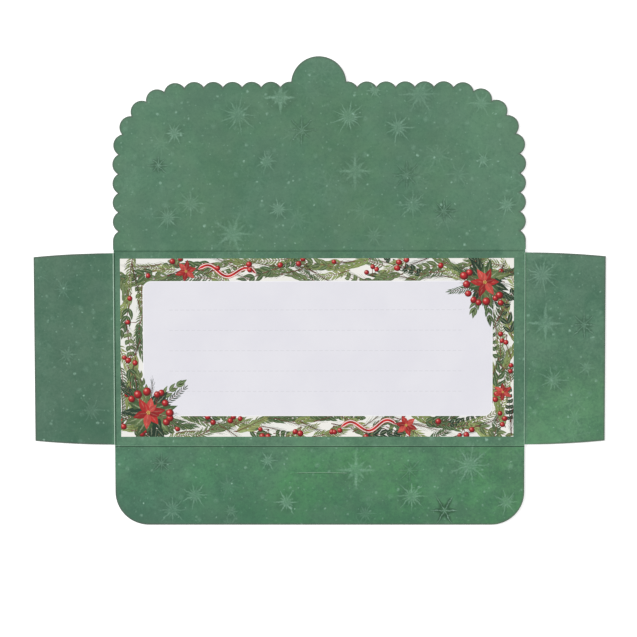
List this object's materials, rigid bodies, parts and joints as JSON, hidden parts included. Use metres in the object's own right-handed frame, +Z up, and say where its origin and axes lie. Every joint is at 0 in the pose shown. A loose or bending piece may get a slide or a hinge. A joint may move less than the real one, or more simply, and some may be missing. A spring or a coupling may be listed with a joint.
{
  "type": "money envelope",
  "caption": "Printed card money envelope laid open flat: back panel, side flaps, slit bottom flap and scalloped closure flap with a tuck tab, folding on pressed creases.",
  "frame": {"origin": "centre of the back panel's outside face, which the envelope rests on when it lies open", "axes": "+X along the width of the back panel, +Y towards the closure flap, +Z up out of the inside face"},
  "size_m": [0.2364, 0.1938, 0.0004],
  "materials": {
    "printed_card": "matte",
    "pressed_crease": "matte"
  },
  "bodies": {
    "panel": {"back_panel": "printed_card", "top_crease": "pressed_crease", "bottom_crease": "pressed_crease", "left_crease": "pressed_crease", "right_crease": "pressed_crease"},
    "left_side": {"left_side_flap": "printed_card"},
    "right_side": {"right_side_flap": "printed_card"},
    "bottom": {"bottom_flap": "printed_card"},
    "closure": {"closure_flap": "printed_card"}
  },
  "joints": [
    {"name": "left_fold", "type": "hinge", "parent": "panel", "child": "left_side", "pos_m": [-0.085, 0, 0.0004], "axis": [0, 1, 0], "range_deg": [0, 179.9]},
    {"name": "right_fold", "type": "hinge", "parent": "panel", "child": "right_side", "pos_m": [0.085, 0, 0.0004], "axis": [0, -1, 0], "range_deg": [0, 179.9]},
    {"name": "bottom_fold", "type": "hinge", "parent": "panel", "child": "bottom", "pos_m": [0, -0.0405, 0.00063], "axis": [-1, 0, 0], "range_deg": [0, 179.9]},
    {"name": "closure_fold", "type": "hinge", "parent": "panel", "child": "closure", "pos_m": [0, 0.0405, 0.00085], "axis": [1, 0, 0], "range_deg": [0, 179.9]}
  ]
}
